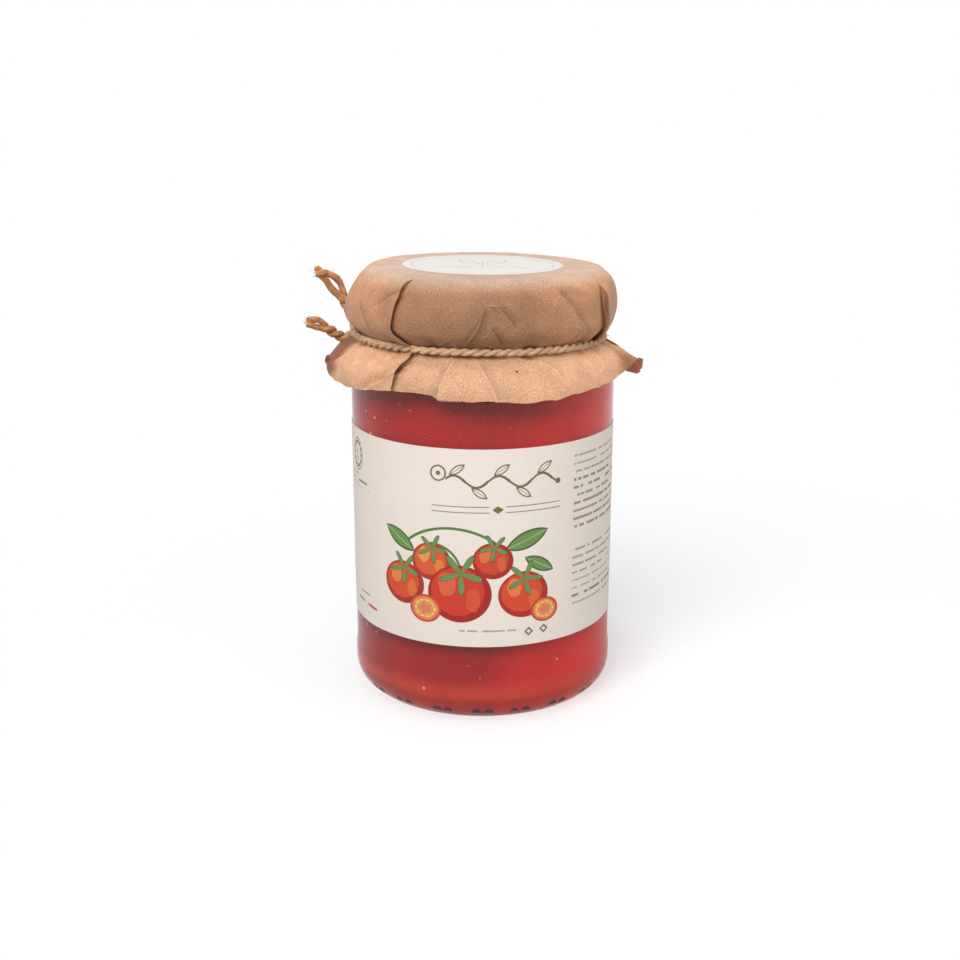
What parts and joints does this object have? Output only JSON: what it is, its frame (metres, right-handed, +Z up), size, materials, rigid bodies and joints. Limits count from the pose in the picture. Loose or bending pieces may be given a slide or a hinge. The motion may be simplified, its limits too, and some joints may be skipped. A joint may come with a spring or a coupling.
{
  "type": "jar of tomato passata",
  "caption": "Round glass preserving jar of tomato passata with a wrap-round label and a pleated kraft paper cover tied on with twine.",
  "frame": {"origin": "on the jar's axis, in the plane of the bearing ring that it stands on", "axes": "+Z up along the jar's axis, the label's front faces -Y, +X to the right seen from the front"},
  "size_m": [0.0891, 0.0797, 0.1156],
  "materials": {
    "glass": "clear moulded flint glass, smooth",
    "passata": "wet sieved tomato, deep red",
    "lid_metal": "lacquered tinplate",
    "label_paper": "uncoated ivory label paper with printed ornament",
    "kraft_paper": "brown kraft paper, crumpled and pleated",
    "sticker_paper": "white paper seal, slightly glossy",
    "jute": "hairy two-ply jute twine"
  },
  "bodies": {
    "root": {"glass_jar": "glass", "passata": "passata", "lid": "lid_metal", "label": "label_paper", "paper_cover": "kraft_paper", "sticker": "sticker_paper", "twine": "jute"}
  },
  "joints": []
}
